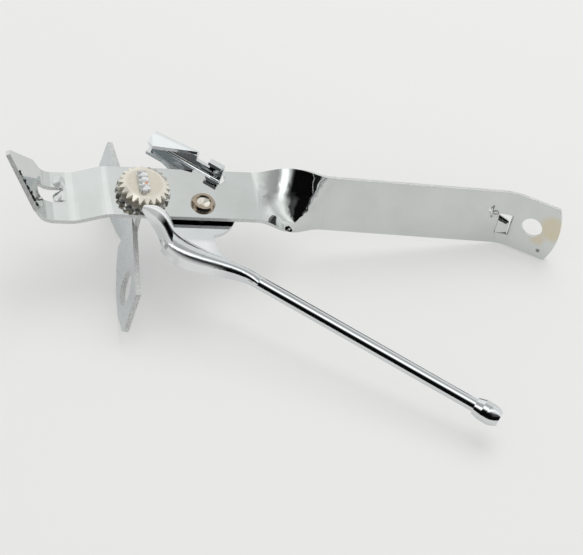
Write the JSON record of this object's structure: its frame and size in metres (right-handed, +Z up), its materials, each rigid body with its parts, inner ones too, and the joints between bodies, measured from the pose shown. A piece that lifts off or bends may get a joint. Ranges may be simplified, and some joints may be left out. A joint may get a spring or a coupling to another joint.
{
  "type": "manual can opener",
  "caption": "Butterfly can opener: steel strip handle with cap lifter and piercing point, toothed feed wheel on a turning key, and a pivoting cutter handle.",
  "frame": {"origin": "on the table, under the middle of the opener's length and of its width with the swing handle open", "axes": "+X along the strip towards the long handle, +Z up from the table, +Y away from the open swing handle"},
  "size_m": [0.1813, 0.1216, 0.05],
  "materials": {
    "plated_steel": "satin nickel plate",
    "wheel_nickel": "dull warm nickel plate",
    "dull_plate": "dull zinc plate",
    "rivet_nickel": "warm nickel plate",
    "bright_chrome": "bright mirror chrome"
  },
  "bodies": {
    "frame": {"frame_strip": "plated_steel", "pivot_rivet": "rivet_nickel", "pivot_washer": "plated_steel"},
    "wheel_and_key": {"feed_wheel": "wheel_nickel", "backing_wheel": "plated_steel", "wheel_bush": "plated_steel", "key_washer": "plated_steel", "butterfly_key": "dull_plate"},
    "cutter_handle": {"swing_handle": "bright_chrome", "handle_end_cap": "bright_chrome"}
  },
  "joints": [
    {"name": "key_turn", "type": "hinge", "parent": "frame", "child": "wheel_and_key", "pos_m": [-0.04852, 0.02639, 0.02834], "axis": [0.1488, -0.01, 0.9888], "continuous": true},
    {"name": "handle_swing", "type": "hinge", "parent": "frame", "child": "cutter_handle", "pos_m": [-0.02944, 0.02269, 0.02543], "axis": [0.1488, -0.01, 0.9888], "range_deg": [0, 29.5]}
  ]
}
